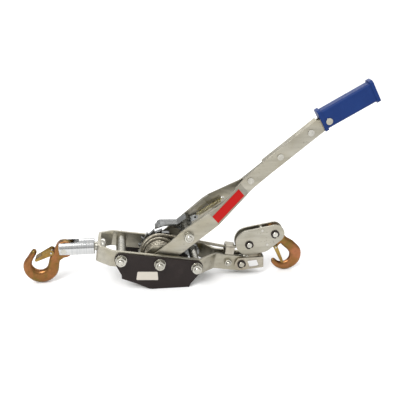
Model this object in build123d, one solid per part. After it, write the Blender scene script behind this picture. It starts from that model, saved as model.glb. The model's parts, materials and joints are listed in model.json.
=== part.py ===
from build123d import *
import os
from math import cos, radians, sin

# Come-along winch (hand puller), millimetres.
# While it is modelled, x = 0 is the drum axle, y = 0 the mid-plane between the side plates and z = 0 the floor.
# +X points along the rope towards the load. ORIGIN then moves the whole winch over its bounding box centre.
ORIGIN = (-58.921, 1.55)

# Frame: one flat bar bent into a U, closed at the anchor end, necked into a narrow tail at the load end.
AXLE_Z = 39.7
FRAME_PITCH = 9.5
STRAP_THICK = 4.0
STRAP_TOP = 11.0
STRAP_BOTTOM = -12.5
STRAP_HALF = 34.0
ANCHOR_FACE = -88.5
ANCHOR_FACE_HALF = 22.0
TAPER_END = -68.3
NECK_START = 58.0
NECK_END = 84.0
TAIL_HALF = 10.0
TAIL_END = 134.0
TAIL_PIN_U = 123.7
PLATE_THICK = 3.0
BOLT_U = (-54.4, 53.0)
STRAP_IN = STRAP_HALF - STRAP_THICK
PLATE_OUT = STRAP_HALF + PLATE_THICK

# M8 and M6 fasteners.
BOLT_R = 4.0
HOLE_R = 4.2
NUT_FLATS = 13.0
NUT_HIGH = 6.5
HEAD_HIGH = 5.3
WASHER_R = 8.0
WASHER_THICK = 1.6
BOLT_END = 1.9
SLEEVE_R = 6.0
PAWL_BORE_R = SLEEVE_R + 0.08
AXLE_BORE_R = BOLT_R + 0.08

# Clevis pins with a groove and a C-clip at each end.
PIN_R = 4.0
GROOVE_R = 3.4
CLIP_R = 6.2
CLIP_THICK = 1.6
PIN_FIT = 0.1

# Drum, its rope and the ratchet wheel.
ROPE_R = 2.4
DRUM_R = 15.7
BUSH_R = 6.0
FIRST_TURN_R = DRUM_R + ROPE_R
SECOND_TURN_R = FIRST_TURN_R + 4.3
TURN_PITCH = 4.95
FIRST_TURNS = 6
FIRST_TURN_Y = -15.6
RUN_R = SECOND_TURN_R + 2 * ROPE_R + 0.35
WHEEL_Y = (12.0, 18.0)
WHEEL_TIP_R = 29.7
WHEEL_ROOT_R = 25.0
TEETH = 16
TOOTH_FACE_ANGLE = 98.5

# Handle: two pressed channels that straddle the drum and nest into each other towards the grip.
# s runs along the handle from the axle, t across it.
HANDLE_ANGLE = 39.7
ARM_OUT = 26.0
BAR_OUT = 5.5
BAR_THICK = 2.5
LIP = 5.5
ARM_STRAIGHT_END = 98.0
BAR_CLOSED = 157.0
BAR_END = 294.5
NOSE_R = 12.5
PAWL_BOLT_S = 54.5
RIVET_S = (170.4, 223.9, 277.8)
RIVET_T = -1.0
RED_LABEL_T = (-11.6, 1.6)
SPRING_HOLE = (121.8, -3.0)

# Grip, with its own axis bent down from the handle's.
GRIP_START = (297.9, 2.9)
GRIP_BEND = 10.0
GRIP_LENGTH = 86.0
GRIP_DEEP = 16.0
GRIP_HIGH = 29.0
RIM_DEEP = 18.0
RIM_HIGH = 34.0
RIM_LONG = 5.0
GRIP_RIVET = (9.9, -4.7)
TONGUE_LONG = 60.0
TONGUE_HIGH = 15.6
TONGUE_MID = -4.4

# Pawls: how far each stands off its engaged place at rest.
DRIVE_LIFT = 6.5
STOP_LIFT = 16.0

# Anchor end.
BARREL_R = 11.5
BARREL_X = (-140.5, -90.6)
BARREL_Z = 53.6
SLOT_HALF = 6.4
SLOT_DEEP = 28.0
SWIVEL_R = 6.5
SWIVEL_HOLE_R = 8.0
ANCHOR_PIN = (-133.6, 52.2)
ANCHOR_EYE_R = 12.6
ANCHOR_HOOK_HALF = 6.0
ANCHOR_LATCH = (-151.5, 48.9)
ANCHOR_LATCH_ANGLE = 206.0
ANCHOR_LATCH_LONG = 23.6

# Pulley block, held at the end of the doubled rope.
SHEAVE_PIN = (133.8, 47.3)
LOAD_PIN = (171.9, 63.0)
SPACERS = ((152.5, 69.5), (160.9, 46.5))
SHEAVE_R = 17.0
SHEAVE_WRAP_R = 14.2
SHEAVE_HALF = 4.3
BLOCK_IN = 4.7
BLOCK_OUT = 7.4
LOAD_EYE_R = 10.5
LOAD_HOOK_HALF = 4.2
LOAD_LATCH = (174.9, 40.2)
LOAD_LATCH_ANGLE = -66.0
LOAD_LATCH_LONG = 26.6

# Rope guide and the link on the frame's tail.
GUIDE_U = (96.9, 109.9)
GUIDE_BOLT_U = 103.4
GUIDE_TOP = 25.0
GUIDE_WALL = 1.7
GUIDE_HALF = 8.8
FOOT_HALF = 5.9
FOOT_THICK = 2.5
ROPE_TURN = (113.0, 18.2)
ROPE_BEND_R = 9.0
LINK_IN = TAIL_HALF + 0.4
LINK_OUT = LINK_IN + 3.0
LINK_REACH = 33.8
LINK_ANGLE = 3.0


# ---------------------------------------------------------------- helpers

def rod(radius, y0, y1, x=0.0, z=0.0):
    """Cylinder along Y."""
    body = Cylinder(radius, y1 - y0, align=(Align.CENTER, Align.CENTER, Align.MIN))
    return Pos(x, y1, z) * Rot(90, 0, 0) * body


def bar_along_x(radius, x0, x1, z):
    body = Cylinder(radius, x1 - x0, align=(Align.CENTER, Align.CENTER, Align.MIN))
    return Pos(x0, 0, z) * Rot(0, 90, 0) * body


def ring(outer, inner, y0, y1, x=0.0, z=0.0):
    """Washer, tube or bush along Y."""
    return rod(outer, y0, y1, x, z) - rod(inner, y0 - 1, y1 + 1, x, z)


def side(sketch, y0, y1):
    """Solid from a sketch drawn in X and Z, between two values of Y."""
    return extrude(Plane.XZ.offset(-y1) * sketch, amount=y1 - y0, dir=(0, -1, 0))


def beyond(s):
    """Everything to the +X side of a plane."""
    return Pos(s, 0, 0) * Box(900, 400, 400, align=(Align.MIN, Align.CENTER, Align.CENTER))


def outline(points):
    return Polygon(*points, align=None)


def smooth(points):
    """Face inside a closed curve through the points."""
    return make_face(Spline(*points, periodic=True).edges())


def dot(radius, x, z):
    return Pos(x, z) * Circle(radius)


def hull(*sketches):
    edges = []
    for sketch in sketches:
        edges += sketch.edges()
    return make_hull(edges)


def hexagon(flats, y0, y1, x=0.0, z=0.0):
    """Nut or bolt head along Y, with its corners turned down."""
    form = Pos(x, z) * Rot(0, 0, 20) * RegularPolygon(flats / 2, 6, major_radius=False)
    crown = rod(flats * 0.56, y0, y1, x, z)
    return side(form, y0, y1) & chamfer(crown.edges().filter_by(GeomType.CIRCLE), 0.8)


def nut(y0, y1, x=0.0, z=0.0, flats=NUT_FLATS, bore=HOLE_R):
    return hexagon(flats, y0, y1, x, z) - rod(bore, y0 - 1, y1 + 1, x, z)


def bolt(y_end, y_head, x=0.0, z=0.0, radius=BOLT_R, flats=NUT_FLATS, head=HEAD_HIGH):
    """Bolt with its head at the back and its chamfered end at the front."""
    shank = rod(radius, y_end, y_head + 1, x, z)
    shank = chamfer(shank.faces().sort_by(Axis.Y)[0].edges(), 0.7)
    return shank + hexagon(flats, y_head, y_head + head, x, z)


def grooved_pin(x, z, half):
    """Clevis pin that holds a clip just outside `half`, at both ends."""
    pin = rod(PIN_R, -half - 2.8, half + 2.8, x, z)
    pin = chamfer(pin.edges().filter_by(GeomType.CIRCLE), 0.5)
    for y0 in (-half - 0.3 - CLIP_THICK, half + 0.3):
        pin -= ring(PIN_R + 1, GROOVE_R, y0, y0 + CLIP_THICK, x, z)
    return pin


def pin_clips(x, z, half):
    """C-clips in the grooves of a pin, each with its gap towards lower right."""
    clips = []
    for y0 in (-half - 0.3 - CLIP_THICK, half + 0.3):
        gap = side(Pos(x + CLIP_R, z - CLIP_R * 0.9) * Rectangle(CLIP_R * 1.5, 3.4), y0 - 1, y0 + CLIP_THICK + 1)
        clips.append(ring(CLIP_R, GROOVE_R, y0, y0 + CLIP_THICK, x, z) - gap)
    return clips


def in_frame(shape):
    """From the frame's own slope, with the axle at 0, 0, to its place."""
    return Pos(0, 0, AXLE_Z) * Rot(0, FRAME_PITCH, 0) * shape


def in_handle(shape):
    """From along the handle, with the axle at 0, 0, to its place."""
    return Pos(0, 0, AXLE_Z) * Rot(0, -HANDLE_ANGLE, 0) * shape


def in_grip(shape):
    """From along the grip's own axis to the handle."""
    return Pos(GRIP_START[0], 0, GRIP_START[1]) * Rot(0, GRIP_BEND, 0) * shape


def frame_point(u, v):
    """Place of a point given along and above the frame's own slope."""
    c, s = cos(radians(FRAME_PITCH)), sin(radians(FRAME_PITCH))
    return u * c + v * s, AXLE_Z - u * s + v * c


def handle_point(s_along, t=0.0):
    c, s = cos(radians(HANDLE_ANGLE)), sin(radians(HANDLE_ANGLE))
    return s_along * c - t * s, AXLE_Z + s_along * s + t * c


def polar(radius, angle, x=0.0, z=0.0):
    return x + radius * cos(radians(angle)), z + radius * sin(radians(angle))


def arc_points(center, radius, start, end, count):
    """Points evenly along an arc, both ends included."""
    step = (end - start) / (count - 1)
    return [polar(radius, start + step * k, *center) for k in range(count)]


def turned(shape, angle, x, z):
    """Turn about a line along Y, anticlockwise seen from the front."""
    return Pos(x, 0, z) * Rot(0, -angle, 0) * Pos(-x, 0, -z) * shape


AXLE = (0.0, AXLE_Z)
PAWL_BOLT = handle_point(PAWL_BOLT_S)
STOP_BOLT = frame_point(BOLT_U[1], 0)
ANCHOR_BOLT = frame_point(BOLT_U[0], 0)
TAIL_PIN = frame_point(TAIL_PIN_U, 0)
GUIDE_BOLT = frame_point(GUIDE_BOLT_U, 0)
CROSS_BOLTS = (ANCHOR_BOLT, STOP_BOLT)


# ---------------------------------------------------------------- frame

def frame_strap():
    half = [(ANCHOR_FACE, ANCHOR_FACE_HALF), (TAPER_END, STRAP_HALF), (NECK_START, STRAP_HALF),
            (NECK_END, TAIL_HALF), (TAIL_END + 30, TAIL_HALF)]
    plan = outline(half + [(u, -y) for u, y in reversed(half)])
    bends = plan.vertices().filter_by(lambda v: v.X < TAIL_END)
    outer = fillet(bends, 7.0)
    inner = offset(outer, -STRAP_THICK)
    strap = Pos(0, 0, STRAP_BOTTOM) * extrude(outer - inner, amount=STRAP_TOP - STRAP_BOTTOM, dir=(0, 0, 1))
    profile = outline([(ANCHOR_FACE - 1, STRAP_BOTTOM), (TAIL_PIN_U, STRAP_BOTTOM), (TAIL_PIN_U, STRAP_TOP),
                       (ANCHOR_FACE - 1, STRAP_TOP)])
    profile += hull(dot(10.5, TAIL_PIN_U - 1, 0), dot(9.5, TAIL_PIN_U, 0))
    strap &= side(profile, -50, 50)
    for u in (BOLT_U[0], 0.0, BOLT_U[1]):
        strap -= rod(HOLE_R, -50, 50, u)
    strap -= rod(PIN_R + PIN_FIT, -50, 50, TAIL_PIN_U)
    strap -= rod(3.2, -50, 50, GUIDE_BOLT_U)
    swivel_hole = bar_along_x(SWIVEL_HOLE_R, ANCHOR_FACE - 40, ANCHOR_FACE + 20, BARREL_Z)
    return in_frame(strap) - swivel_hole


def side_plate(y0, y1):
    """Bolted side plate; its bottom edge is level and the winch stands on it."""
    left, right = ANCHOR_BOLT, STOP_BOLT
    top = hull(dot(9.0, *left), dot(9.0, *right))
    web = outline([(left[0] - 9, left[1]), (-60.0, 38.0), (-53.8, 25.0), (-53.6, 19.0), (-34.0, 10.5),
                   (-16.0, 1.2), (-11.0, 0.0), (41.5, 0.0), (43.5, 5.0), (59.5, 24.0), right, left])
    plate = side(top + web, y0, y1)
    for x, z in (left, right, AXLE):
        plate -= rod(HOLE_R, y0 - 1, y1 + 1, x, z)
    return plate


def side_label():
    """Blank label on the front side plate."""
    label = outline([(-33.5, 16.0), (-31.5, 29.0), (-3.5, 27.3), (-2.5, 14.0)])
    return side(fillet(label.vertices(), 1.5), -PLATE_OUT - 0.4, -PLATE_OUT)


def cross_bolt(x, z):
    reach = PLATE_OUT + WASHER_THICK
    return bolt(-reach - NUT_HIGH - BOLT_END, reach, x, z)


def cross_nut(x, z):
    reach = PLATE_OUT + WASHER_THICK
    return nut(-reach - NUT_HIGH, -reach, x, z)


def cross_washers(x, z):
    reach = PLATE_OUT + WASHER_THICK
    return [ring(WASHER_R, HOLE_R, -reach, -PLATE_OUT, x, z), ring(WASHER_R, HOLE_R, PLATE_OUT, reach, x, z)]


def spacer_tube():
    """Tube between the strap's sides on the anchor-end bolt."""
    return ring(7.3, HOLE_R, -STRAP_IN, STRAP_IN, *ANCHOR_BOLT)


def stop_pawl_sleeve():
    """Sleeve on the load-end bolt that the stop pawl turns on."""
    return ring(SLEEVE_R, HOLE_R, -STRAP_IN + 3, STRAP_IN - 3, *STOP_BOLT)


def arm_spacers():
    """Washers on the axle, between each arm and the frame."""
    return [ring(9.0, HOLE_R, ARM_OUT + 0.1, STRAP_IN, *AXLE), ring(9.0, HOLE_R, -STRAP_IN, -ARM_OUT - 0.1, *AXLE)]


def cable_guide():
    """Bridge of sheet steel that stands on the tail and lets the rope through."""
    u0, u1 = GUIDE_U
    long = u1 - u0
    arch = Pos(0, GUIDE_TOP - 20) * Rectangle(2 * GUIDE_HALF, 40)
    arch = fillet(arch.vertices().group_by(Axis.Y)[-1], 3.0)
    opening = Pos(0, GUIDE_TOP - GUIDE_WALL - 20) * Rectangle(2 * (GUIDE_HALF - 2.5), 40)
    above = Pos(0, STRAP_TOP + 20) * Rectangle(60, 40)
    section = (arch - opening) & above
    foot_in = FOOT_HALF - FOOT_THICK
    for sign in (-1, 1):
        shelf = Pos(sign * (foot_in + GUIDE_HALF) / 2, STRAP_TOP + 1.1) * Rectangle(GUIDE_HALF - foot_in, 2.2)
        foot = Pos(sign * (foot_in + FOOT_HALF) / 2, 1.5) * Rectangle(FOOT_THICK, 21.0)
        section += shelf + foot
    guide = Pos(u0, 0, 0) * extrude(Plane.YZ * section, amount=long, dir=(1, 0, 0))
    return in_frame(guide - rod(3.2, -20, 20, GUIDE_BOLT_U))


def guide_bolt():
    return bolt(-TAIL_HALF - 7.0, TAIL_HALF, *GUIDE_BOLT, 3.0, 10.0, 4.0)


def guide_nut():
    return nut(-TAIL_HALF - 5.0, -TAIL_HALF, *GUIDE_BOLT, 10.0, 3.15)


def tail_link():
    """U-shaped link on the tail pin, straddling the frame's tail."""
    x, z = TAIL_PIN
    arm = hull(dot(10.0, 0, 0), Pos(LINK_REACH - 5, 0) * Rectangle(10, 17.0))
    window = fillet(outline([(8.6, 5.8), (22.4, 5.6), (26.4, -6.3), (12.6, -7.2)]).vertices(), 1.2)
    body = side(arm, -LINK_OUT, LINK_OUT) - side(Pos(5, 0) * Rectangle(2 * LINK_REACH - 16, 40), -LINK_IN, LINK_IN)
    body -= side(window, -40, 0)
    body -= rod(PIN_R + PIN_FIT, -40, 40)
    body = fillet(body.edges().filter_by(Axis.Z).sort_by(Axis.X)[-2:], 3.0)
    return Pos(x, 0, z) * Rot(0, -LINK_ANGLE, 0) * body


# ---------------------------------------------------------------- rope

def tangent_on(center, radius, point, upper):
    """Point of a circle whose tangent passes through a given point, and its angle on the circle."""
    line = Vector(point[0] - center[0], point[1] - center[1])
    heading = line.get_angle(Vector(1, 0))
    heading = heading if line.Y >= 0 else -heading
    half = Vector(radius, (line.length ** 2 - radius ** 2) ** 0.5).get_angle(Vector(1, 0))
    angle = heading - half if upper else heading + half
    return polar(radius, angle, *center), angle


def towards(start, end, distance):
    """Point on the line from one point to another, a distance from the first."""
    dx, dz = end[0] - start[0], end[1] - start[1]
    away = Vector(dx, dz).length
    return start[0] + dx * distance / away, start[1] + dz * distance / away


TURN_POINT = frame_point(*ROPE_TURN)
DRUM_TANGENT, _ = tangent_on(AXLE, RUN_R, TURN_POINT, False)
GUIDE_IN = towards(TURN_POINT, DRUM_TANGENT, 16.0)
SHEAVE_IN, WRAP_START = tangent_on(SHEAVE_PIN, SHEAVE_WRAP_R, TURN_POINT, True)
SHEAVE_OUT, WRAP_END = tangent_on(SHEAVE_PIN, SHEAVE_WRAP_R, TAIL_PIN, False)
DEAD_END = towards(TAIL_PIN, SHEAVE_OUT, 13.0)


def rope_along(path):
    return sweep(Plane(path @ 0, z_dir=path % 0) * Circle(ROPE_R), path)


def straight(start, end):
    return Line((start[0], 0, start[1]), (end[0], 0, end[1]))


def rope_inner_run():
    """Rope from the drum to the mouth of the guide."""
    return rope_along(straight(DRUM_TANGENT, GUIDE_IN))


def rope_live_run():
    """Rope through the guide and up to the sheave."""
    points = [(p[0], 0, p[1]) for p in (GUIDE_IN, TURN_POINT, SHEAVE_IN)]
    return rope_along(FilletPolyline(*points, radius=ROPE_BEND_R))


def rope_on_sheave():
    """Rope round the sheave, from the top left over the load side to below."""
    x, z = SHEAVE_PIN
    arc = revolve(Plane.XZ * Pos(SHEAVE_WRAP_R, 0) * Circle(ROPE_R), Axis.Z, (WRAP_START - WRAP_END) % 360)
    return Pos(x, 0, z) * Rot(0, -WRAP_END, 0) * Rot(90, 0, 0) * arc


def rope_dead_run():
    return rope_along(straight(DEAD_END, SHEAVE_OUT))


def rope_socket():
    """Swaged eye that holds the rope's dead end on the tail pin."""
    line = straight(towards(TAIL_PIN, SHEAVE_OUT, 5.0), towards(TAIL_PIN, SHEAVE_OUT, 14.5))
    sleeve = sweep(Plane(line @ 0, z_dir=line % 0) * Circle(3.9), line)
    bore = rope_along(straight(DEAD_END, SHEAVE_OUT))
    return sleeve + rod(8.0, -3.9, 3.9, *TAIL_PIN) - rod(PIN_R + PIN_FIT, -6, 6, *TAIL_PIN) - bore


# ---------------------------------------------------------------- drum

def drum_barrel():
    core = ring(DRUM_R, BUSH_R, -21.5, WHEEL_Y[0], *AXLE)
    return core + ring(20.0, BUSH_R, -21.5, -19.0, *AXLE)


def drum_bush():
    return ring(BUSH_R, BOLT_R + 0.05, -22.0, WHEEL_Y[1] + 1.0, *AXLE)


def ratchet_wheel():
    points = []
    for k in range(TEETH):
        angle = TOOTH_FACE_ANGLE - 360.0 * k / TEETH
        points += [polar(WHEEL_TIP_R, angle, *AXLE), polar(WHEEL_ROOT_R, angle, *AXLE)]
    return side(outline(points), *WHEEL_Y) - rod(BUSH_R, WHEEL_Y[0] - 1, WHEEL_Y[1] + 1, *AXLE)


def rope_turn(radius, y):
    return Pos(0, y, AXLE_Z) * Rot(90, 0, 0) * Torus(radius, ROPE_R)


def rope_first_layer():
    return [rope_turn(FIRST_TURN_R + 0.02, FIRST_TURN_Y + k * TURN_PITCH) for k in range(FIRST_TURNS)]


def rope_second_layer():
    """Turns that lie in the valleys of the first layer, at the wheel's side."""
    start = FIRST_TURN_Y + 2.5 * TURN_PITCH
    return [rope_turn(SECOND_TURN_R, start + k * TURN_PITCH) for k in range(3)]


# ---------------------------------------------------------------- handle

# Edges of the two channels; they run on past the grip's mouth and are cut off there.
STOCK_END = BAR_END + 20
FRONT_TOP = [(28, 11.2), (50, 12.6), (93, 9.7), (118, 4.6), (140, 4.5), (172, 8.2), (200, 9.5), (STOCK_END, 9.5)]
FRONT_BOTTOM = [(28, -13.4), (98, -14.6), (152, -14.2), (170, -12.4), (200, -11.8), (STOCK_END, -11.8)]
BACK_TOP = [(28, 11.2), (110, 13.0), (163, 6.9), (STOCK_END, 6.9)]
BACK_BOTTOM = [(28, -13.4), (98, -14.5), (157, -9.2), (STOCK_END, -9.2)]


def bar_strip(sign, depth):
    """Strip that follows one side of the handle in plan, from its outer face to a depth below it."""
    run = [(-NOSE_R - 3, ARM_OUT), (ARM_STRAIGHT_END, ARM_OUT), (BAR_CLOSED, BAR_OUT), (STOCK_END, BAR_OUT)]
    plan = [(s, sign * y) for s, y in run] + [(s, sign * (y - depth)) for s, y in reversed(run)]
    return extrude(outline(plan), amount=40, both=True)


def handle_bar(sign, top, bottom, flange, flange_start):
    """Pressed channel: a web with a lip along each edge that grows into a full flange beyond the drum."""
    form = outline(bottom + list(reversed(top))) + hull(dot(NOSE_R, 0, 0), outline([bottom[0], top[0], (40, 0)]))
    rim = form - offset(form, -BAR_THICK)
    web = bar_strip(sign, BAR_THICK) & side(form, -60, 60)
    lips = bar_strip(sign, LIP) & side(rim, -60, 60) & beyond(70)
    lips -= Pos(154, 0, 30) * Box(92, 200, 60)
    flanges = bar_strip(sign, flange) & side(rim, -60, 60) & beyond(flange_start)
    bar = web + (lips - beyond(flange_start)) + flanges - beyond(BAR_END)
    bar += in_grip(grip_tongue(sign))
    bar -= rod(AXLE_BORE_R, -60, 60)
    bar -= rod(HOLE_R, -60, 60, PAWL_BOLT_S)
    for s in RIVET_S:
        bar -= rod(3.0, -60, 60, s, RIVET_T)
    return bar - in_grip(rod(3.0, -60, 60, *GRIP_RIVET))


def handle_front_bar():
    return in_handle(handle_bar(-1, FRONT_TOP, FRONT_BOTTOM, 2 * BAR_OUT, 200))


def handle_back_bar():
    bar = handle_bar(1, BACK_TOP, BACK_BOTTOM, 2 * BAR_OUT - BAR_THICK - 0.1, 163)
    return in_handle(bar - rod(2.2, 0, 60, *SPRING_HOLE))


def grip_tongue(sign):
    """End of one channel inside the grip."""
    mid = sign * (BAR_OUT - BAR_THICK / 2)
    tongue = Box(TONGUE_LONG + 4, BAR_THICK, TONGUE_HIGH, align=(Align.MIN, Align.CENTER, Align.CENTER))
    return Pos(-4, mid, TONGUE_MID) * tongue


def grip():
    """Moulded plastic grip with a rim at each end."""
    body = Pos(GRIP_LENGTH / 2, 0, 0) * Box(GRIP_LENGTH, GRIP_DEEP, GRIP_HIGH)
    body = fillet(body.edges().filter_by(Axis.X), 3.5)
    for s in (RIM_LONG / 2, GRIP_LENGTH - RIM_LONG / 2):
        rim = Pos(s, 0, 0) * Box(RIM_LONG, RIM_DEEP, RIM_HIGH)
        body += fillet(rim.edges().filter_by(Axis.X), 4.5)
    socket = Box(TONGUE_LONG + 2, 2 * BAR_OUT, TONGUE_HIGH, align=(Align.MIN, Align.CENTER, Align.CENTER))
    body -= Pos(-1, 0, TONGUE_MID) * socket
    body -= rod(3.0, -30, 30, *GRIP_RIVET)
    return in_handle(in_grip(body))


def rivet(half, s, t):
    """Rivet across the handle, with a flat round head on each side."""
    shape = rod(3.0, -half - 0.5, half + 0.5, s, t)
    for y in (-half - 1.2, half):
        head = rod(4.8, y, y + 1.2, s, t)
        shape += head
    return shape


def handle_rivets():
    return [in_handle(rivet(BAR_OUT, s, RIVET_T)) for s in RIVET_S]


def grip_rivet():
    return in_handle(in_grip(rivet(GRIP_DEEP / 2, *GRIP_RIVET)))


def pawl_bolt():
    return bolt(-ARM_OUT - WASHER_THICK - 6.0, ARM_OUT, *PAWL_BOLT)


def pawl_nut():
    return nut(-ARM_OUT - WASHER_THICK - 5.0, -ARM_OUT - WASHER_THICK, *PAWL_BOLT)


def pawl_washer():
    return ring(7.5, HOLE_R, -ARM_OUT - WASHER_THICK, -ARM_OUT, *PAWL_BOLT)


def red_label():
    """Blank strip on the slanting outer face of the front channel."""
    slope = (ARM_OUT - BAR_OUT) / (BAR_CLOSED - ARM_STRAIGHT_END)
    outer = [(s, -ARM_OUT + (s - ARM_STRAIGHT_END) * slope) for s in (ARM_STRAIGHT_END + 0.5, BAR_CLOSED - 7.0)]
    plan = [(s, y - 0.5) for s, y in outer] + [(s, y) for s, y in reversed(outer)]
    low, high = RED_LABEL_T
    strip = extrude(outline(plan), amount=high - low, dir=(0, 0, 1))
    return in_handle(Pos(0, 0, low) * strip)


def drive_pawl_sleeve():
    return ring(SLEEVE_R, HOLE_R, -ARM_OUT + BAR_THICK, ARM_OUT - BAR_THICK, *PAWL_BOLT)


# ---------------------------------------------------------------- pawls

def drive_pawl():
    """Hooded pawl on the handle; modelled where it bites, then lifted clear of the teeth."""
    x, z = PAWL_BOLT
    nose = [(-3.9, 70.1), (-3.2, 65.3), (3.0, 67.9), (8.0, 70.3), (20.0, 72.7), (x - 4, z - 9), (x + 4, z - 9),
            (x + 9, z), (x + 6, z + 10), (x - 3, z + 15), (28.0, 79.2), (3.0, 77.2), (-1.0, 74.2)]
    blade = side(outline(nose), WHEEL_Y[0] - 0.5, WHEEL_Y[1] + 0.5)
    hood = outline([(-1.0, 74.2), (3.0, 77.2), (28.0, 79.2), (x - 3, z + 15), (x + 2, z + 13), (29.0, 76.2),
                    (4.0, 74.2), (0.0, 71.5)])
    shell = side(hood, 4.0, 21.5)
    boss = rod(9.5, 4.0, 21.5, x, z)
    lug = side(hull(dot(4.0, x + 8, z + 8), dot(4.0, x + 13, z + 11)), 18.5, 21.5)
    lug -= rod(1.6, 15, 25, x + 13, z + 11)
    pawl = blade + shell + boss + lug - rod(PAWL_BORE_R, 0, 30, x, z)
    return turned(pawl, -DRIVE_LIFT, x, z)


def stop_pawl():
    """Pawl on the frame's load-end bolt; modelled where it bites, then turned clear."""
    x, z = STOP_BOLT
    nose = [(28.5, 41.7), (31.8, 44.4), (x, z + 10), (x, z - 10), (x - 8, z - 7), (30.6, 34.2)]
    pawl = side(outline(nose), *WHEEL_Y) + rod(10.0, WHEEL_Y[0], WHEEL_Y[1], x, z)
    pawl -= rod(PAWL_BORE_R, 0, 30, x, z)
    return turned(pawl, -STOP_LIFT, x, z)


def stop_spring():
    """Torsion spring as closed turns side by side."""
    x, z = STOP_BOLT
    return [Pos(x, 18.9 + k * 1.5, z) * Rot(90, 0, 0) * Torus(7.4, 0.7) for k in range(4)]


def drive_spring():
    """Extension spring from the drive pawl's lug to the hole in the back arm."""
    x, z = PAWL_BOLT
    start = Vector(x + 15, 20.0, z + 12)
    hole_x, hole_z = handle_point(*SPRING_HOLE)
    end = Vector(hole_x, 13.0, hole_z)
    axis = (end - start).normalized()
    turns = 14
    first = start + axis * 6
    step = ((end - axis * 6) - first) * (1.0 / (turns - 1))
    return [Plane(first + step * k, z_dir=axis) * Torus(2.6, 0.6) for k in range(turns)]


# ---------------------------------------------------------------- anchor end

def swivel_barrel():
    body = bar_along_x(BARREL_R, *BARREL_X, BARREL_Z)
    body = chamfer(body.edges().filter_by(GeomType.CIRCLE), 0.8)
    slot = Box(SLOT_DEEP + 1, 2 * SLOT_HALF, 40, align=(Align.MIN, Align.CENTER, Align.CENTER))
    body -= Pos(BARREL_X[0] - 1, 0, BARREL_Z) * slot
    body -= rod(PIN_R, -20, 20, *ANCHOR_PIN)
    return body - bar_along_x(SWIVEL_R, BARREL_X[1] - 12, BARREL_X[1] + 12, BARREL_Z)


def swivel_stud():
    """Stud in the barrel, through the frame, with a domed head inside."""
    start = BARREL_X[1] - 12.0
    inside = ANCHOR_FACE + STRAP_THICK + 3.0
    shank = bar_along_x(SWIVEL_R, start, inside + 2, BARREL_Z)
    dome = bar_along_x(10.5, inside, inside + 7.0, BARREL_Z)
    return shank + fillet(dome.edges().filter_by(GeomType.CIRCLE).sort_by(Axis.X)[-1], 4.0)


def swivel_pin():
    half = (BARREL_R ** 2 - (ANCHOR_PIN[1] - BARREL_Z) ** 2) ** 0.5 - 0.6
    return rod(PIN_R, -half, half, *ANCHOR_PIN)


def hook_form(face, half, edge):
    """Forging of one thickness with its edges rounded off."""
    body = side(face, -half, half)
    return fillet(body.faces().filter_by(Axis.Y).edges(), edge)


def hook_eye(pin, radius, half):
    eye = rod(radius, -half, half, *pin)
    return chamfer(eye.edges().filter_by(GeomType.CIRCLE), 1.0)


def anchor_hook():
    px, pz = ANCHOR_PIN
    outer = arc_points((-167.6, 25.3), 25.0, 165, 350, 8)
    throat = arc_points((-168.9, 30.8), 11.4, 350, 190, 6)
    neck_out = [(-140.0, 34.0), (px + 2, pz - 10), (px + 5, pz), (px - 2, pz + 8)]
    neck_in = [(-141.5, 60.0), (-148.0, 51.5), (-152.6, 44.5)]
    tip = [(-178.0, 37.0), (-174.0, 44.0), (-172.3, 50.2), (-175.5, 53.2), (-179.8, 50.2), (-185.0, 42.5)]
    hook = hook_form(smooth(outer + neck_out + neck_in + throat + tip), ANCHOR_HOOK_HALF, 2.0)
    hook += hook_eye(ANCHOR_PIN, ANCHOR_EYE_R, ANCHOR_HOOK_HALF)
    return hook - rod(PIN_R + PIN_FIT, -20, 20, px, pz) - rod(1.6, -20, 20, *ANCHOR_LATCH)


def latch(pivot, angle, reach, hook_half, boss, start):
    """Sheet-steel latch: two cheeks on the rivet and, from `start`, a tongue across the mouth side."""
    half = hook_half + 1.4
    form = side(hull(dot(boss, 0, 0), dot(2.0, reach, 0)), -half, half)
    form -= side(hull(dot(boss + 2, -3.0, 1.6), dot(2.0, reach - 1.2, 1.6)), -half + 1.0, half - 1.0)
    form -= side(Pos(start - 20, 0) * Rectangle(40, 30), -hook_half - 0.3, hook_half + 0.3)
    form -= rod(1.6, -20, 20)
    return Pos(pivot[0], 0, pivot[1]) * Rot(0, -angle, 0) * form


def anchor_latch():
    return latch(ANCHOR_LATCH, ANCHOR_LATCH_ANGLE, ANCHOR_LATCH_LONG, ANCHOR_HOOK_HALF, 4.0, 15.0)


def load_latch():
    return latch(LOAD_LATCH, LOAD_LATCH_ANGLE, LOAD_LATCH_LONG, LOAD_HOOK_HALF, 3.0, 12.0)


def latch_rivet(pivot, hook_half):
    return rod(1.5, -hook_half - 2.0, hook_half + 2.0, *pivot)


# ---------------------------------------------------------------- pulley block

def block_plate(y0, y1):
    form = hull(dot(20.0, 133.5, 50.5), dot(18.0, 153.0, 52.0), dot(14.3, *LOAD_PIN))
    plate = side(form, y0, y1)
    for x, z in (SHEAVE_PIN, LOAD_PIN):
        plate -= rod(PIN_R, y0 - 1, y1 + 1, x, z)
    for x, z in SPACERS:
        plate -= rod(2.0, y0 - 1, y1 + 1, x, z)
    return plate


def block_spacer(x, z):
    return rod(3.0, -BLOCK_IN, BLOCK_IN, x, z) + rod(2.0, -BLOCK_OUT - 0.3, BLOCK_OUT + 0.3, x, z)


def sheave():
    wheel = ring(SHEAVE_R, BUSH_R, -SHEAVE_HALF, SHEAVE_HALF, *SHEAVE_PIN)
    groove = Pos(SHEAVE_PIN[0], 0, SHEAVE_PIN[1]) * Rot(90, 0, 0) * Torus(SHEAVE_WRAP_R, ROPE_R + 0.35)
    mouth = ring(30.0, SHEAVE_WRAP_R, -ROPE_R - 0.35, ROPE_R + 0.35, *SHEAVE_PIN)
    return wheel - groove - mouth


def sheave_bush():
    return ring(BUSH_R, PIN_R + 0.05, -4.5, 4.5, *SHEAVE_PIN)


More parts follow.
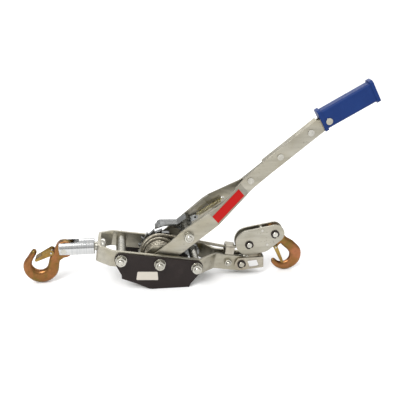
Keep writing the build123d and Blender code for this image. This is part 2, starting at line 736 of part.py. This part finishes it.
def load_hook():
    px, pz = LOAD_PIN
    outer = arc_points((192.0, 24.3), 24.0, 208, 385, 8)
    neck_out = [(207.0, 42.5), (199.0, 49.5), (190.5, 55.0), (px + 6, pz + 5)]
    neck_in = [(px - 5, pz - 4), (174.0, 53.5), (181.0, 46.5), (188.5, 38.5)]
    throat = arc_points((186.4, 24.6), 11.6, 45, -125, 6)
    tip = [(174.5, 19.3), (171.3, 18.9), (170.2, 16.6)]
    hook = hook_form(smooth(outer + neck_out + neck_in + throat + tip), LOAD_HOOK_HALF, 1.2)
    ear = side(hull(dot(3.6, *LOAD_LATCH), dot(4.0, 181.5, 49.5)), -LOAD_HOOK_HALF, LOAD_HOOK_HALF)
    hook += ear + hook_eye(LOAD_PIN, LOAD_EYE_R, LOAD_HOOK_HALF)
    return hook - rod(PIN_R + PIN_FIT, -20, 20, px, pz) - rod(1.6, -20, 20, *LOAD_LATCH)


# ---------------------------------------------------------------- all parts

def parts():
    """Every sub-part by the name of its node."""
    bolts = (*CROSS_BOLTS, AXLE)
    return {
        "frame_strap": frame_strap(),
        "side_plate_front": side_plate(-PLATE_OUT, -STRAP_HALF),
        "side_plate_back": side_plate(STRAP_HALF, PLATE_OUT),
        "side_label": side_label(),
        "frame_bolts": [cross_bolt(x, z) for x, z in CROSS_BOLTS],
        "drum_axle": cross_bolt(*AXLE),
        "frame_nuts": [cross_nut(x, z) for x, z in bolts],
        "frame_washers": [washer for x, z in bolts for washer in cross_washers(x, z)],
        "spacer_tube": spacer_tube(),
        "stop_pawl_sleeve": stop_pawl_sleeve(),
        "stop_spring": stop_spring(),
        "arm_spacers": arm_spacers(),
        "cable_guide": cable_guide(),
        "guide_bolt": guide_bolt(),
        "guide_nut": guide_nut(),
        "tail_pin": grooved_pin(*TAIL_PIN, LINK_OUT),
        "tail_clips": pin_clips(*TAIL_PIN, LINK_OUT),
        "rope_socket": rope_socket(),
        "rope_inner_run": rope_inner_run(),
        "rope_live_run": rope_live_run(),
        "rope_dead_run": rope_dead_run(),
        "tail_link": tail_link(),
        "swivel_barrel": swivel_barrel(),
        "swivel_stud": swivel_stud(),
        "swivel_pin": swivel_pin(),
        "anchor_hook": anchor_hook(),
        "anchor_latch_rivet": latch_rivet(ANCHOR_LATCH, ANCHOR_HOOK_HALF),
        "anchor_latch": anchor_latch(),
        "drum_barrel": drum_barrel(),
        "drum_bush": drum_bush(),
        "ratchet_wheel": ratchet_wheel(),
        "rope_first_layer": rope_first_layer(),
        "rope_second_layer": rope_second_layer(),
        "handle_front_bar": handle_front_bar(),
        "handle_back_bar": handle_back_bar(),
        "handle_rivets": handle_rivets(),
        "grip": grip(),
        "grip_rivet": grip_rivet(),
        "pawl_bolt": pawl_bolt(),
        "pawl_nut": pawl_nut(),
        "pawl_washer": pawl_washer(),
        "drive_pawl_sleeve": drive_pawl_sleeve(),
        "red_label": red_label(),
        "drive_spring": drive_spring(),
        "drive_pawl": drive_pawl(),
        "stop_pawl": stop_pawl(),
        "block_plate_front": block_plate(-BLOCK_OUT, -BLOCK_IN),
        "block_plate_back": block_plate(BLOCK_IN, BLOCK_OUT),
        "block_spacers": [block_spacer(x, z) for x, z in SPACERS],
        "sheave_pin": grooved_pin(*SHEAVE_PIN, BLOCK_OUT),
        "load_hook_pin": grooved_pin(*LOAD_PIN, BLOCK_OUT),
        "block_clips": pin_clips(*SHEAVE_PIN, BLOCK_OUT) + pin_clips(*LOAD_PIN, BLOCK_OUT),
        "rope_on_sheave": rope_on_sheave(),
        "sheave": sheave(),
        "sheave_bush": sheave_bush(),
        "load_hook": load_hook(),
        "load_latch_rivet": latch_rivet(LOAD_LATCH, LOAD_HOOK_HALF),
        "load_latch": load_latch(),
    }


def write(name, shape):
    """One STEP file per node, moved to the winch's own origin."""
    place = Pos(ORIGIN[0], ORIGIN[1], 0)
    groups = shape if isinstance(shape, list) else [shape]
    solids = [place * solid for group in groups for solid in group.solids()]
    body = solids[0] if len(solids) == 1 else Compound(children=solids)
    body.label = name
    export_step(body, f"parts/{name}.step")
    return body


def main():
    os.makedirs("parts", exist_ok=True)
    low, high = Vector(1e9, 1e9, 1e9), Vector(-1e9, -1e9, -1e9)
    for name, shape in parts().items():
        box = write(name, shape).bounding_box()
        low = Vector(min(low.X, box.min.X), min(low.Y, box.min.Y), min(low.Z, box.min.Z))
        high = Vector(max(high.X, box.max.X), max(high.Y, box.max.Y), max(high.Z, box.max.Z))
    print("lowest", low)
    print("highest", high)


main()
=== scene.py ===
import json
from math import cos, pi, radians, sin, sqrt
import bpy
from mathutils import Matrix, Vector
from mathutils.kdtree import KDTree


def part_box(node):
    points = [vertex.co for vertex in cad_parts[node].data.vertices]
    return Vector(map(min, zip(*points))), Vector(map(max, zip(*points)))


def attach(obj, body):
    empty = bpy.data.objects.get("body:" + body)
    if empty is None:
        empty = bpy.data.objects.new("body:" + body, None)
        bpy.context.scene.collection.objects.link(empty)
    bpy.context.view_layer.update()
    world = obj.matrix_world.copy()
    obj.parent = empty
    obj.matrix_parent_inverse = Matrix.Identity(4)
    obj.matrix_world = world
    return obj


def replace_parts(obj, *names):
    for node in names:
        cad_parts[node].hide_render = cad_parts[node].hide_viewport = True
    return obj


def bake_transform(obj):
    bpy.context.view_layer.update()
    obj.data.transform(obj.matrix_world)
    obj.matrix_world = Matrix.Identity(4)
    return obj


# Come-along winch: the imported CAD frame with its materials, and its rope, springs and hooks as meshes.
# Lengths are metres, in the frame's own axes: +X to the load hook, -Y to the viewer, +Z up.
MM = 0.001

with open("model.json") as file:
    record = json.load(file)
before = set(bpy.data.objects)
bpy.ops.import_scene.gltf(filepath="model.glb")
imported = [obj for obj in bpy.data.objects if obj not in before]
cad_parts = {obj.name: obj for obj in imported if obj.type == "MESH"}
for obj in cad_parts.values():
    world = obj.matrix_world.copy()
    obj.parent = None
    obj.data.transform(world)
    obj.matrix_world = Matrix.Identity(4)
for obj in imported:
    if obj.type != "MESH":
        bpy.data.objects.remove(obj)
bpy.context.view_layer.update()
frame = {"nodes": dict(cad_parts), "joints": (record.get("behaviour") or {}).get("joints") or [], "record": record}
NODES = frame["nodes"]
JOINTS = {joint["name"]: joint for joint in frame["joints"]}


# ---------------------------------------------------------------- node helpers

class Shade:
    """A material whose nodes are added one by one."""

    def __init__(self, name, metallic, roughness, colour=(0.5, 0.5, 0.5)):
        self.material = bpy.data.materials.new(name)
        self.material.use_nodes = True
        self.tree = self.material.node_tree
        self.tree.nodes.clear()
        self.out = self.add("ShaderNodeOutputMaterial")
        self.shader = self.add("ShaderNodeBsdfPrincipled")
        self.shader.inputs["Metallic"].default_value = metallic
        self.shader.inputs["Roughness"].default_value = roughness
        self.shader.inputs["Base Color"].default_value = (*colour, 1)
        self.link(self.shader.outputs[0], self.out.inputs["Surface"])
        self.place = self.add("ShaderNodeTexCoord").outputs["Object"]

    def add(self, kind):
        return self.tree.nodes.new(kind)

    def link(self, source, target):
        self.tree.links.new(source, target)

    def stretched(self, stretch, turn=(0.0, 0.0, 0.0)):
        mapping = self.add("ShaderNodeMapping")
        mapping.inputs["Scale"].default_value = stretch
        mapping.inputs["Rotation"].default_value = turn
        self.link(self.place, mapping.inputs["Vector"])
        return mapping.outputs[0]

    def noise(self, scale, detail=4.0, rough=0.55, at=None, distortion=0.0):
        noise = self.add("ShaderNodeTexNoise")
        noise.inputs["Scale"].default_value = scale
        noise.inputs["Detail"].default_value = detail
        noise.inputs["Roughness"].default_value = rough
        noise.inputs["Distortion"].default_value = distortion
        self.link(at or self.place, noise.inputs["Vector"])
        return noise.outputs["Fac"]

    def ramp(self, factor, stops):
        ramp = self.add("ShaderNodeValToRGB")
        elements = ramp.color_ramp.elements
        for k, (spot, colour) in enumerate(stops):
            element = elements[k] if k < 2 else elements.new(spot)
            element.position = spot
            element.color = (*colour, 1)
        self.link(factor, ramp.inputs[0])
        return ramp.outputs[0]

    def blend(self, factor, a, b, kind="MIX"):
        mix = self.add("ShaderNodeMix")
        mix.data_type = "RGBA"
        mix.blend_type = kind
        for socket, value in ((mix.inputs[0], factor), (mix.inputs[6], a), (mix.inputs[7], b)):
            if isinstance(value, bpy.types.NodeSocket):
                self.link(value, socket)
            else:
                socket.default_value = value
        return mix.outputs[2]

    def between(self, factor, low, high):
        scale = self.add("ShaderNodeMapRange")
        scale.inputs["To Min"].default_value = low
        scale.inputs["To Max"].default_value = high
        self.link(factor, scale.inputs["Value"])
        return scale.outputs[0]

    def colour(self, source):
        self.link(source, self.shader.inputs["Base Color"])

    def roughness(self, source):
        self.link(source, self.shader.inputs["Roughness"])

    def relief(self, height, strength, distance, edge=0.0):
        """Bump on top of slightly rounded edges."""
        bump = self.add("ShaderNodeBump")
        bump.inputs["Strength"].default_value = strength
        bump.inputs["Distance"].default_value = distance
        self.link(height, bump.inputs["Height"])
        if edge:
            bevel = self.add("ShaderNodeBevel")
            bevel.samples = 4
            bevel.inputs["Radius"].default_value = edge
            self.link(bevel.outputs[0], bump.inputs["Normal"])
        self.link(bump.outputs[0], self.shader.inputs["Normal"])


def grey(value):
    return (value, value, value)


def plated(name, pale, warm, dull, low=0.2, high=0.42, grain=(1, 1, 1), edge=0.5 * MM):
    """Zinc plating: broad warm and cool patches, fine drawn grain and small dull spots."""
    s = Shade(name, 1.0, 0.3)
    patches = s.ramp(s.noise(24, 3, 0.5, distortion=0.6), [(0.3, pale), (0.7, warm)])
    fine = s.noise(160, 5, 0.6, at=s.stretched(grain))
    tint = s.blend(s.ramp(fine, [(0.42, grey(0.0)), (0.72, grey(0.45))]), patches, (*dull, 1))
    spots = s.ramp(s.noise(420, 2, 0.5), [(0.66, grey(0.0)), (0.74, grey(0.6))])
    s.colour(s.blend(spots, tint, (*[c * 0.6 for c in dull], 1)))
    s.roughness(s.between(s.noise(60, 6, 0.65), low, high))
    s.relief(fine, 0.12, 0.3 * MM, edge)
    return s.material


def forged(name, stops):
    """Yellow passivated forging: copper to olive patches over a hammered skin."""
    s = Shade(name, 1.0, 0.35)
    base = s.ramp(s.noise(38, 4, 0.6, distortion=1.2), stops)
    dark = s.ramp(s.noise(210, 4, 0.65), [(0.5, grey(0.0)), (0.8, grey(0.5))])
    s.colour(s.blend(dark, base, (0.10, 0.06, 0.03, 1)))
    s.roughness(s.between(s.noise(90, 5, 0.6), 0.22, 0.45))
    s.relief(s.noise(230, 3, 0.5), 0.25, 0.5 * MM, 0.8 * MM)
    return s.material


def painted(name, colour, worn, rough=(0.35, 0.55), edge=0.4 * MM):
    """Thick dark coating with an orange-peel skin and rubbed places."""
    s = Shade(name, 0.0, 0.45)
    s.shader.inputs["Specular IOR Level"].default_value = 0.25
    rub = s.ramp(s.noise(45, 7, 0.7, distortion=0.4), [(0.55, grey(0.0)), (0.78, grey(0.7))])
    s.colour(s.blend(rub, (*colour, 1), (*worn, 1)))
    s.roughness(s.between(s.noise(120, 4, 0.6), *rough))
    s.relief(s.noise(700, 3, 0.5), 0.25, 0.2 * MM, edge)
    return s.material


def plastic(name, colour, pale, rough=(0.3, 0.45), grain=900, bump=0.3):
    """Moulded plastic or film with a fine grain and faint handling marks."""
    s = Shade(name, 0.0, 0.4)
    s.shader.inputs["Specular IOR Level"].default_value = 0.22
    marks = s.ramp(s.noise(50, 6, 0.65, distortion=0.5), [(0.45, grey(0.0)), (0.8, grey(0.55))])
    s.colour(s.blend(marks, (*colour, 1), (*pale, 1)))
    s.roughness(s.between(s.noise(200, 4, 0.6), *rough))
    s.relief(s.noise(grain, 2, 0.5), bump, 0.12 * MM, 0.6 * MM)
    return s.material


def polished(name):
    """Turned and chromed barrel: lathe lines round its axis under the plating."""
    s = Shade(name, 1.0, 0.12)
    lines = s.noise(500, 3, 0.6, at=s.stretched((1.0, 0.04, 0.04)))
    s.colour(s.ramp(lines, [(0.3, (0.60, 0.60, 0.59)), (0.75, (0.44, 0.45, 0.46))]))
    s.roughness(s.between(s.noise(90, 5, 0.6), 0.08, 0.2))
    s.relief(lines, 0.08, 0.1 * MM, 0.5 * MM)
    return s.material


MATERIALS = {
    "zinc_steel": plated("zinc_steel", (0.43, 0.41, 0.35), (0.35, 0.32, 0.24), (0.20, 0.19, 0.16), 0.24, 0.46,
                         grain=(0.12, 1.0, 1.0)),
    "bolt_steel": plated("bolt_steel", (0.56, 0.55, 0.50), (0.42, 0.40, 0.34),
                         (0.22, 0.21, 0.19), 0.18, 0.34),
    "wheel_steel": plated("wheel_steel", (0.34, 0.35, 0.35), (0.22, 0.22, 0.21),
                          (0.08, 0.08, 0.08), 0.18, 0.36),
    "spring_steel": plated("spring_steel", (0.36, 0.32, 0.15), (0.26, 0.21, 0.08),
                           (0.10, 0.08, 0.04), 0.2, 0.35, edge=0.0),
    "bronze_steel": plated("bronze_steel", (0.46, 0.44, 0.38), (0.36, 0.32, 0.25),
                           (0.20, 0.17, 0.13), 0.22, 0.4),
    "latch_steel": plated("latch_steel", (0.36, 0.26, 0.08), (0.26, 0.15, 0.04),
                          (0.11, 0.07, 0.03), 0.2, 0.38),
    "wire_rope": plated("wire_rope", (0.42, 0.40, 0.34), (0.30, 0.27, 0.21), (0.08, 0.07, 0.05), 0.25, 0.45,
                        grain=(1.0, 1.0, 1.0), edge=0.0),
    "chrome": polished("chrome"),
    "yellow_zinc": forged("yellow_zinc", [(0.30, (0.34, 0.135, 0.065)), (0.52, (0.25, 0.115, 0.04)),
                                          (0.72, (0.16, 0.12, 0.03))]),
    "black_steel": painted("black_steel", (0.012, 0.007, 0.006), (0.026, 0.018, 0.016)),
    "blue_plastic": plastic("blue_plastic", (0.002, 0.022, 0.12), (0.006, 0.034, 0.16), (0.4, 0.55)),
    "red_label": plastic("red_label", (0.40, 0.003, 0.002), (0.33, 0.005, 0.004), (0.45, 0.6), 1400, 0.15),
    "white_label": plastic("white_label", (0.52, 0.48, 0.42), (0.44, 0.40, 0.34), (0.45, 0.6), 1400, 0.15),
}

for part in frame["record"]["subparts"]:
    obj = NODES[part["node"]]
    obj.data.materials.clear()
    obj.data.materials.append(MATERIALS[part["material_slot"]])


# ---------------------------------------------------------------- mesh helpers

def dress(obj, slot, body=None):
    """Give a new piece its finish and its body."""
    obj.data.materials.append(MATERIALS[slot])
    if body:
        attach(obj, body)
    return obj


def mesh_piece(name, vertices, faces):
    mesh = bpy.data.meshes.new(name)
    mesh.from_pydata([tuple(v) for v in vertices], [], faces)
    mesh.update()
    for polygon in mesh.polygons:
        polygon.use_smooth = True
    obj = bpy.data.objects.new(name, mesh)
    bpy.context.scene.collection.objects.link(obj)
    return obj


def moving_frames(points):
    """Tangent, normal and binormal along a route, turned as little as possible from point to point."""
    count = len(points)
    frames = []
    normal = None
    for k, point in enumerate(points):
        after = points[min(k + 1, count - 1)]
        before = points[max(k - 1, 0)]
        tangent = (after - before).normalized()
        if normal is None:
            normal = tangent.orthogonal()
        normal = (normal - tangent * normal.dot(tangent)).normalized()
        frames.append((tangent, normal, tangent.cross(normal)))
    return frames


def tube(points, radius, sides, vertices, faces):
    """Add one round wire along the points to a mesh in the making, with closed ends."""
    start = len(vertices)
    for point, (_, normal, binormal) in zip(points, moving_frames(points)):
        for j in range(sides):
            a = 2 * pi * j / sides
            vertices.append(point + (normal * cos(a) + binormal * sin(a)) * radius)
    for k in range(len(points) - 1):
        for j in range(sides):
            a, b = start + k * sides + j, start + k * sides + (j + 1) % sides
            faces.append((a, b, b + sides, a + sides))
    last = start + (len(points) - 1) * sides
    faces.append(tuple(start + j for j in reversed(range(sides))))
    faces.append(tuple(last + j for j in range(sides)))


def lengths(points):
    total, run = 0.0, [0.0]
    for a, b in zip(points, points[1:]):
        total += (b - a).length
        run.append(total)
    return run


ROPE_R = 2.4 * MM
STRANDS = 6
LAY = 26 * MM


def wire_rope(name, points):
    """Rope of twisted strands round a core, along the points."""
    vertices, faces = [], []
    frames, run = moving_frames(points), lengths(points)
    for strand in range(STRANDS):
        line = []
        for point, (_, normal, binormal), along in zip(points, frames, run):
            a = 2 * pi * (strand / STRANDS + along / LAY)
            line.append(point + (normal * cos(a) + binormal * sin(a)) * ROPE_R * 0.63)
        tube(line, ROPE_R * 0.36, 7, vertices, faces)
    tube(points, ROPE_R * 0.4, 6, vertices, faces)
    return mesh_piece(name, vertices, faces)


def straight(start, end, step=1.2 * MM):
    count = max(2, int((end - start).length / step))
    return [start.lerp(end, k / count) for k in range(count + 1)]


def pivot(joint):
    return Vector(JOINTS[joint]["pos_m"])


# ---------------------------------------------------------------- rope

AXLE = pivot("drum_turn")
SHEAVE = pivot("sheave_turn")
TAIL_PIN = pivot("tail_link_pivot")
WRAP_R = 14.2 * MM
RUN_R = 27.55 * MM
MID_Y = AXLE.y


def around(center, radius, angle, y=MID_Y):
    return Vector((center.x + radius * cos(angle), y, center.z + radius * sin(angle)))


def tangent_angle(center, radius, point, side):
    """Angle on a circle where a line from the point touches it."""
    line = Vector((point.x - center.x, point.z - center.z))
    away = Vector((radius, sqrt(line.length_squared - radius ** 2)))
    heading = pi * 2 - line.angle(Vector((1, 0))) if line.y < 0 else line.angle(Vector((1, 0)))
    return heading + side * away.angle(Vector((1, 0)))


def helix(center, radius, y0, pitch, turns, step=radians(4)):
    count = int(turns * 2 * pi / step)
    return [around(center, radius, k * turns * 2 * pi / count, y0 + pitch * turns * k / count)
            for k in range(count + 1)]


FRAME_PITCH = radians(9.5)
TURN_ALONG, TURN_ABOVE = 113 * MM, 18.2 * MM
TURN_POINT = AXLE + Vector((cos(FRAME_PITCH), 0, -sin(FRAME_PITCH))) * TURN_ALONG
TURN_POINT += Vector((sin(FRAME_PITCH), 0, cos(FRAME_PITCH))) * TURN_ABOVE
DRUM_ANGLE = tangent_angle(AXLE, RUN_R, TURN_POINT, 1)
DRUM_OUT = around(AXLE, RUN_R, DRUM_ANGLE)
WRAP_START = tangent_angle(SHEAVE, WRAP_R, TURN_POINT, -1)
WRAP_END = tangent_angle(SHEAVE, WRAP_R, TAIL_PIN, 1) - 2 * pi
GUIDE_REACH = 16 * MM
GUIDE_IN = TURN_POINT + (DRUM_OUT - TURN_POINT).normalized() * GUIDE_REACH

first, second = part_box("rope_first_layer"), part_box("rope_second_layer")
FIRST_R = (first[1].x - first[0].x) / 2 - ROPE_R
SECOND_R = (second[1].x - second[0].x) / 2 - ROPE_R
PITCH = 4.95 * MM
FIRST_TURNS, SECOND_TURNS = 5, 2

coils = wire_rope("drum_rope_inner_coils", helix(AXLE, FIRST_R, first[0].y + ROPE_R, PITCH, FIRST_TURNS))
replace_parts(dress(coils, "wire_rope", "drum"), "rope_first_layer")
coils = wire_rope("drum_rope_outer_coils", helix(AXLE, SECOND_R, second[0].y + ROPE_R, PITCH, SECOND_TURNS))
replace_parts(dress(coils, "wire_rope", "drum"), "rope_second_layer")

LEAD_STEPS, LEAD_STEP, LEAD_SIDEWAYS = 50, radians(4.4), 3.2 * MM
lead = [around(AXLE, SECOND_R + (RUN_R - SECOND_R) * (1 - k / LEAD_STEPS), DRUM_ANGLE + LEAD_STEP * k,
               MID_Y - LEAD_SIDEWAYS * k / LEAD_STEPS) for k in range(LEAD_STEPS, 0, -1)]
inner = wire_rope("rope_to_guide", lead + straight(DRUM_OUT, GUIDE_IN))
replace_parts(dress(inner, "wire_rope", "frame"), "rope_inner_run")


def rounded_corner(a, corner, b, radius, count=14):
    """Straight, arc, straight through a corner."""
    u, v = (a - corner).normalized(), (b - corner).normalized()
    half = u.angle(v) / 2
    reach = radius / (sin(half) / cos(half))
    center = corner + (u + v).normalized() * radius / sin(half)
    p, q = corner + u * reach - center, corner + v * reach - center
    spread = p.angle(q)
    arc = [center + (p * sin(spread * (1 - k / count)) + q * sin(spread * k / count)) / sin(spread)
           for k in range(count + 1)]
    return straight(a, arc[0])[:-1] + arc + straight(arc[-1], b)[1:]


BEND_R = 9 * MM
sheave_in = around(SHEAVE, WRAP_R, WRAP_START)
live = wire_rope("rope_live_run_strands", rounded_corner(GUIDE_IN, TURN_POINT, sheave_in, BEND_R))
dress(live, "wire_rope")
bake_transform(live)
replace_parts(live, "rope_live_run")

turn = (WRAP_START - WRAP_END) % (2 * pi)
WRAP_STEPS = 60
wrap = [around(SHEAVE, WRAP_R, WRAP_START - turn * k / WRAP_STEPS) for k in range(WRAP_STEPS + 1)]
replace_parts(dress(wire_rope("rope_round_sheave", wrap), "wire_rope", "block"), "rope_on_sheave")

sheave_out = around(SHEAVE, WRAP_R, WRAP_END)
SOCKET_LONG = 13 * MM
dead_start = TAIL_PIN + (sheave_out - TAIL_PIN).normalized() * SOCKET_LONG
dead = wire_rope("rope_dead_run_strands", straight(dead_start, sheave_out))
dress(dead, "wire_rope")
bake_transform(dead)
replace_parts(dead, "rope_dead_run")


# ---------------------------------------------------------------- springs

def coil_about(start, end, radius, turns, per_turn=20):
    """Helix round the line from start to end."""
    axis = (end - start).normalized()
    side = axis.orthogonal().normalized()
    other = axis.cross(side)
    count = turns * per_turn
    points = []
    for k in range(count + 1):
        a = 2 * pi * k / per_turn
        points.append(start.lerp(end, k / count) + (side * cos(a) + other * sin(a)) * radius)
    return points


pawl = pivot("drive_pawl_pivot")
start = pawl + Vector((15 * MM, 20 * MM - (pawl.y - MID_Y), 12 * MM))
HANDLE_ANGLE = radians(39.7)
SPRING_HOLE = (121.8 * MM, 3 * MM)
DRIVE_WIRE_R, DRIVE_COIL_R, DRIVE_TURNS = 0.6 * MM, 2.6 * MM, 17
hole = AXLE + Vector((cos(HANDLE_ANGLE), 0, sin(HANDLE_ANGLE))) * SPRING_HOLE[0]
hole += Vector((sin(HANDLE_ANGLE), 0, -cos(HANDLE_ANGLE))) * SPRING_HOLE[1]
end = Vector((hole.x, MID_Y + 13 * MM, hole.z))
along = (end - start).normalized()
body = coil_about(start + along * 5 * MM, end - along * 5 * MM, DRIVE_COIL_R, DRIVE_TURNS)
tail = [end + along * 1 * MM, end + Vector((0, 3 * MM, 0)) + along * 1 * MM, end + Vector((0, 6 * MM, 0))]
vertices, faces = [], []
tube([start, start + along * 2.5 * MM] + body + tail, DRIVE_WIRE_R, 8, vertices, faces)
spring = dress(mesh_piece("drive_spring_coils", vertices, faces), "spring_steel", "handle")
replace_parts(spring, "drive_spring")

low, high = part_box("stop_spring")
center = (low + high) / 2
STOP_WIRE_R, STOP_TURNS = 0.7 * MM, 4
ring = (high.x - low.x) / 2 - STOP_WIRE_R
turns = coil_about(Vector((center.x, low.y + STOP_WIRE_R, center.z)),
                   Vector((center.x, high.y - STOP_WIRE_R, center.z)), ring, STOP_TURNS, 24)
vertices, faces = [], []
legs = turns[0] + (turns[0] - turns[1]) * 5, turns[-1] + (turns[-1] - turns[-2]) * 6
tube([legs[0]] + turns + [legs[1]], STOP_WIRE_R, 8, vertices, faces)
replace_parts(dress(mesh_piece("stop_spring_coils", vertices, faces), "spring_steel", "frame"), "stop_spring")


# ---------------------------------------------------------------- hooks

VOXEL = 0.8 * MM
HOOK_HALF_WIDE = 7 * MM
EDGE_SHARE = 0.3
EYE_FLAT, EYE_FADE = 7 * MM, 5 * MM


def forging(node, eye, eye_r):
    """Hook with a round section, thinning towards its outline; its eye stays flat."""
    obj = bpy.data.objects.new(node + "_forging", NODES[node].data.copy())
    bpy.context.scene.collection.objects.link(obj)
    obj.matrix_world = NODES[node].matrix_world.copy()
    remesh = obj.modifiers.new("remesh", "REMESH")
    remesh.mode, remesh.voxel_size = "VOXEL", VOXEL
    remesh.use_smooth_shade = True
    bpy.context.view_layer.update()
    solid = bpy.data.meshes.new_from_object(obj.evaluated_get(bpy.context.evaluated_depsgraph_get()))
    obj.modifiers.clear()
    obj.data = solid
    rim = [v.co for v in solid.vertices if abs(v.normal.y) < 0.5]
    tree = KDTree(len(rim))
    for k, spot in enumerate(rim):
        tree.insert((spot.x, 0, spot.z), k)
    tree.balance()
    places = []
    for vertex in solid.vertices:
        x, y, z = vertex.co
        inward = min(tree.find((x, 0, z))[2] / HOOK_HALF_WIDE, 1.0)
        share = EDGE_SHARE + (1 - EDGE_SHARE) * sqrt(1 - (1 - inward) ** 2)
        from_eye = sqrt((x - eye.x) ** 2 + (z - eye.z) ** 2)
        flat = min(max((eye_r + EYE_FLAT - from_eye) / EYE_FADE, 0.0), 1.0)
        places.append(Vector((x, eye.y + (y - eye.y) * (share + (1 - share) * flat), z)))
    for vertex, place in zip(solid.vertices, places):
        vertex.co = place
    smooth = obj.modifiers.new("smooth", "SMOOTH")
    smooth.factor, smooth.iterations = 0.5, 8
    bpy.context.view_layer.update()
    obj.data = bpy.data.meshes.new_from_object(obj.evaluated_get(bpy.context.evaluated_depsgraph_get()))
    obj.modifiers.clear()
    obj.data.materials.clear()
    return obj


for node, eye_r in (("anchor_hook", 12.6 * MM), ("load_hook", 10.5 * MM)):
    piece = forging(node, pivot(node + "_pivot"), eye_r)
    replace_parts(dress(piece, "yellow_zinc", node + "_body"), node)


# ---------------------------------------------------------------- floor, light and camera

def pale_floor():
    s = Shade("floor", 0.0, 0.6)
    s.colour(s.ramp(s.noise(3, 3, 0.5), [(0.3, grey(0.90)), (0.7, grey(0.92))]))
    s.roughness(s.between(s.noise(8, 3, 0.5), 0.55, 0.65))
    reach = 40.0
    corners = [(-reach, -reach, 0), (reach, -reach, 0), (reach, reach, 0), (-reach, reach, 0)]
    floor = mesh_piece("floor", corners, [(0, 1, 2, 3)])
    floor.location.z = -0.0003
    floor.data.materials.append(s.material)


def softbox(name, place, power, size, aim=(0.0, 0.0, 0.08)):
    lamp = bpy.data.lights.new(name, "AREA")
    lamp.shape = "RECTANGLE"
    lamp.size, lamp.size_y = size
    lamp.energy = power
    obj = bpy.data.objects.new(name, lamp)
    obj.location = place
    obj.rotation_euler = (Vector(aim) - Vector(place)).to_track_quat("-Z", "Y").to_euler()
    bpy.context.scene.collection.objects.link(obj)


def soft_sun(strength, direction, spread):
    """Broad even light from one side, the same over the whole floor."""
    lamp = bpy.data.lights.new("sun", "SUN")
    lamp.energy, lamp.angle = strength, spread
    obj = bpy.data.objects.new("sun", lamp)
    obj.rotation_euler = Vector(direction).to_track_quat("-Z", "Y").to_euler()
    bpy.context.scene.collection.objects.link(obj)


def studio_world(horizon, zenith):
    """Tent that is darker at the sides than overhead, which gives metal something to reflect."""
    world = bpy.data.worlds.new("studio")
    world.use_nodes = True
    nodes, links = world.node_tree.nodes, world.node_tree.links
    split = nodes.new("ShaderNodeSeparateXYZ")
    links.new(nodes.new("ShaderNodeTexCoord").outputs["Generated"], split.inputs[0])
    ramp = nodes.new("ShaderNodeValToRGB")
    ramp.color_ramp.elements[0].color = (*grey(horizon), 1)
    ramp.color_ramp.elements[1].position = 0.75
    ramp.color_ramp.elements[1].color = (*grey(zenith), 1)
    links.new(split.outputs["Z"], ramp.inputs[0])
    links.new(ramp.outputs[0], nodes["Background"].inputs["Color"])
    bpy.context.scene.world = world


CAMERA_PLACE = Vector((-101.7, -755.4, 438.5)) * MM
CAMERA_BACK = Vector((-0.1291, -0.9254, 0.3564))
CAMERA_ROLL = radians(0.96)
CAMERA_LENS = 52.2


def camera():
    lens = bpy.data.cameras.new("camera")
    lens.lens = CAMERA_LENS
    lens.sensor_width = 36
    lens.shift_x, lens.shift_y = -0.005, -0.046
    obj = bpy.data.objects.new("camera", lens)
    across = Vector((0, 0, 1)).cross(CAMERA_BACK).normalized()
    up = CAMERA_BACK.cross(across).normalized()
    turn = Matrix((across, up, CAMERA_BACK.normalized())).transposed().to_4x4()
    obj.matrix_world = Matrix.Translation(CAMERA_PLACE) @ turn @ Matrix.Rotation(CAMERA_ROLL, 4, "Z")
    bpy.context.scene.collection.objects.link(obj)
    bpy.context.scene.camera = obj


pale_floor()
studio_world(0.50, 0.95)
soft_sun(1.7, (0.45, 0.55, -0.9), radians(35))
softbox("key", (-0.9, -1.1, 1.3), 9, (0.9, 0.5))
softbox("rim", (0.2, 0.9, 0.9), 5, (1.2, 0.3))
bpy.context.scene.view_settings.view_transform = "Standard"
camera()
